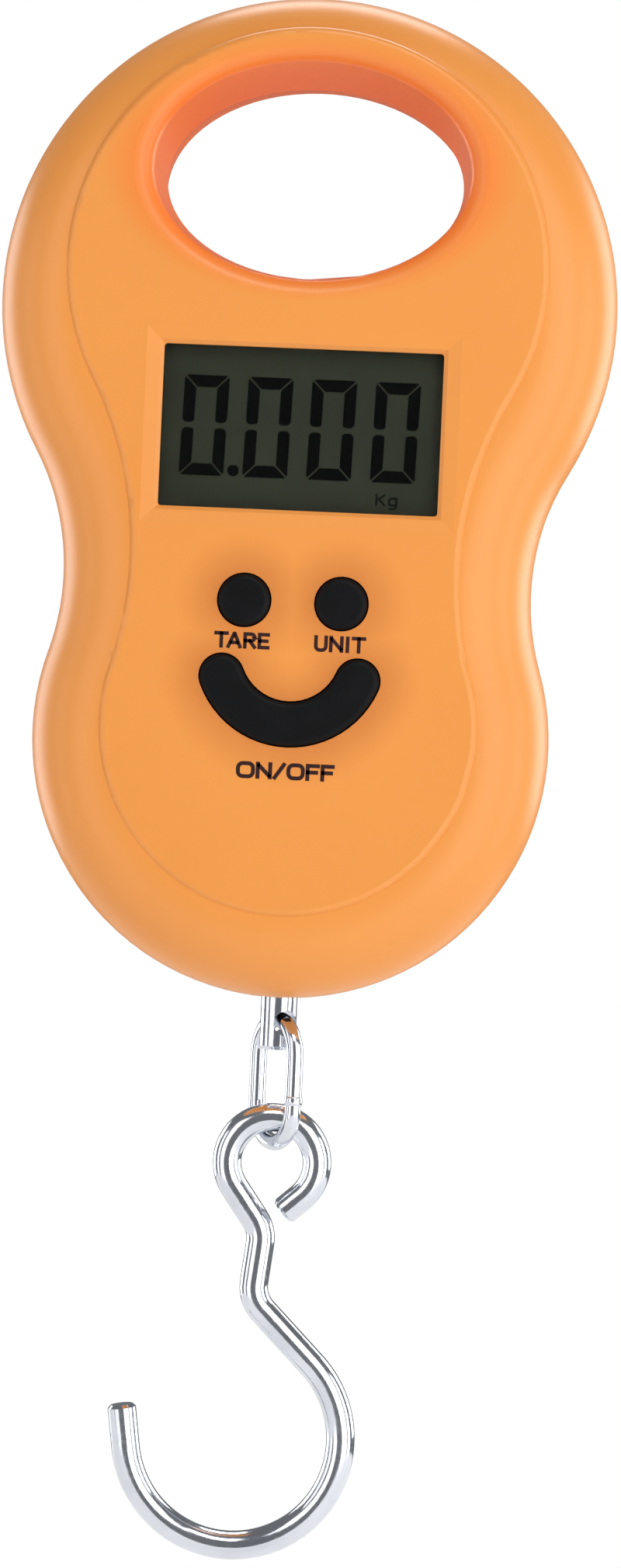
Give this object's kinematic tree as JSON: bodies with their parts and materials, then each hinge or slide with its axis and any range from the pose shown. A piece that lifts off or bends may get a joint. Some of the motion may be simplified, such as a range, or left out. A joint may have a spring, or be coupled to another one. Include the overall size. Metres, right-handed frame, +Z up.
{
  "type": "digital fish scale",
  "caption": "Hand-held digital hanging scale with an oval hand opening, display, keys, battery door, load cell and a swivelling post, link and open wire hook.",
  "frame": {"origin": "top of the hand opening at its middle, on the joint plane between the shells, where the hand carries the load", "axes": "+Z up along the load line from the hook to the hand; the display faces -Y and the battery door +Y; +X to the right seen from the front"},
  "size_m": [0.071, 0.0242, 0.1807],
  "materials": {
    "shell_abs": "orange moulded ABS, fine satin",
    "lens_clear": "clear acrylic window",
    "lcd_face": "dark olive display glass",
    "reflector_grey": "matt grey reflector film",
    "holder_white": "white moulded plastic",
    "strip_rubber": "layered conductive rubber",
    "board_green": "green solder mask on glass fibre",
    "resin_black": "glossy black resin",
    "component_body": "ceramic chip parts",
    "switch_black": "black moulded plastic",
    "button_black": "satin black",
    "cell_can": "nickel-plated steel",
    "cell_wrap": "glossy printed film",
    "contact_steel": "nickel-plated spring steel",
    "lead_insulation": "red vinyl insulation",
    "beam_aluminium": "milled, clear anodised",
    "gauge_film": "amber film",
    "sealant_white": "soft white compound",
    "screw_zinc": "zinc plated",
    "plated_steel": "bright zinc-nickel plating over drawn wire"
  },
  "bodies": {
    "housing": {"front_shell": "shell_abs", "rear_shell": "shell_abs", "display_lens": "lens_clear", "lcd_glass": "lcd_face", "lcd_reflector": "reflector_grey", "lcd_holder": "holder_white", "contact_strip": "strip_rubber", "circuit_board": "board_green", "chip_resin": "resin_black", "board_components": "component_body", "tact_switches": "switch_black", "battery_cells": "cell_can", "battery_wraps": "cell_wrap", "battery_springs": "contact_steel", "bridge_contact": "contact_steel", "end_contacts": "contact_steel", "battery_leads": "lead_insulation", "load_cell": "beam_aluminium", "strain_gauges": "gauge_film", "gauge_sealant": "sealant_white", "load_cell_leads": "lead_insulation", "load_cell_screws": "screw_zinc", "shell_screws": "screw_zinc", "board_screws": "screw_zinc", "post_washer": "contact_steel"},
    "tare_key": {"tare_button": "button_black", "tare_plunger": "switch_black"},
    "unit_key": {"unit_button": "button_black", "unit_plunger": "switch_black"},
    "power_key": {"power_button": "button_black", "power_plunger": "switch_black"},
    "door": {"battery_door": "shell_abs"},
    "post": {"hook_post": "plated_steel"},
    "link": {"chain_link": "plated_steel"},
    "hook": {"load_hook": "plated_steel"}
  },
  "joints": [
    {"name": "tare_press", "type": "slide", "parent": "housing", "child": "tare_key", "axis": [0, 1, 0], "range_m": [0, 0.0005], "stiffness_N_per_m": 1500},
    {"name": "unit_press", "type": "slide", "parent": "housing", "child": "unit_key", "axis": [0, 1, 0], "range_m": [0, 0.0005], "stiffness_N_per_m": 1500},
    {"name": "power_press", "type": "slide", "parent": "housing", "child": "power_key", "axis": [0, 1, 0], "range_m": [0, 0.0005], "stiffness_N_per_m": 1500},
    {"name": "battery_door_hinge", "type": "hinge", "parent": "housing", "child": "door", "pos_m": [0, 0.0104, -0.08115], "axis": [-1, 0, 0], "range_deg": [0, 85]},
    {"name": "post_swivel", "type": "hinge", "parent": "housing", "child": "post", "pos_m": [0, 0, -0.09], "axis": [0, 0, 1], "continuous": true},
    {"name": "link_swing", "type": "hinge", "parent": "post", "child": "link", "pos_m": [0, 0, -0.1083], "axis": [0.5299, -0.848, 0], "range_deg": [-75, 75]},
    {"name": "hook_swing", "type": "hinge", "parent": "link", "child": "hook", "pos_m": [0, 0, -0.12457], "axis": [0, 1, 0], "range_deg": [-45, 45]}
  ]
}
